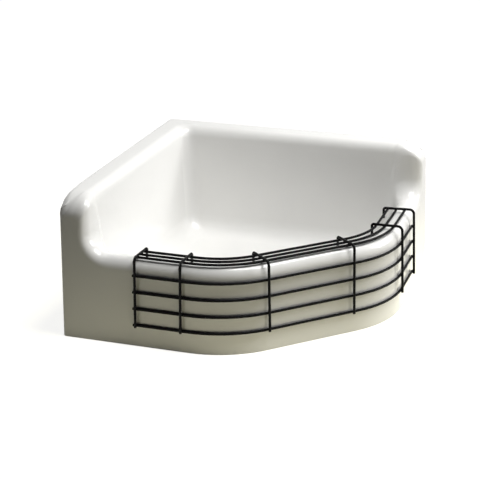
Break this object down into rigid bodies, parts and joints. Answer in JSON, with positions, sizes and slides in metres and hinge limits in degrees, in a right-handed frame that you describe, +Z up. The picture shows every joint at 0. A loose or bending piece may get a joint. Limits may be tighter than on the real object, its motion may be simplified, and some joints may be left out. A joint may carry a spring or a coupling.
{
  "type": "mop service sink",
  "caption": "Corner floor-standing mop sink: white enamelled iron bowl with high back walls and a low cut front, a black wire guard hooked over the rim, and a floor drain with strainer.",
  "frame": {"origin": "on the floor under the middle of the whole sink's box, guard included", "axes": "+Z up; +Y toward the right-hand room wall that the long back rests against, -X toward the left-hand room wall, so the cut front faces +X and -Y"},
  "size_m": [0.722, 0.722, 0.333],
  "materials": {
    "white_enamel": "glossy white vitreous enamel on cast iron",
    "black_vinyl": "glossy black vinyl coating on steel wire",
    "stainless_steel": "brushed stainless steel",
    "black_rubber": "matte black rubber",
    "red_fibre": "matte pressed fibre",
    "brass": "cast and machined brass"
  },
  "bodies": {
    "root": {"basin": "white_enamel", "drain_body": "stainless_steel", "flange_seal": "black_rubber", "basin_gasket": "black_rubber", "fibre_washer": "red_fibre", "drain_locknut": "brass", "pipe_ring": "black_rubber", "ring_nut": "brass"},
    "guard": {"rim_wire_outer": "black_vinyl", "rim_wire_middle": "black_vinyl", "rim_wire_inner": "black_vinyl", "apron_wire_1": "black_vinyl", "apron_wire_2": "black_vinyl", "apron_wire_3": "black_vinyl", "apron_wire_4": "black_vinyl", "hoop_left_end": "black_vinyl", "hoop_left_middle": "black_vinyl", "hoop_left_front": "black_vinyl", "hoop_right_front": "black_vinyl", "hoop_right_middle": "black_vinyl", "hoop_right_end": "black_vinyl"},
    "strainer": {"drain_strainer": "stainless_steel"}
  },
  "joints": [
    {"name": "guard_lift", "type": "slide", "parent": "root", "child": "guard", "axis": [0, 0, 1], "range_m": [0, 0.2]},
    {"name": "strainer_lift", "type": "slide", "parent": "root", "child": "strainer", "axis": [0, 0, 1], "range_m": [0, 0.25]}
  ]
}
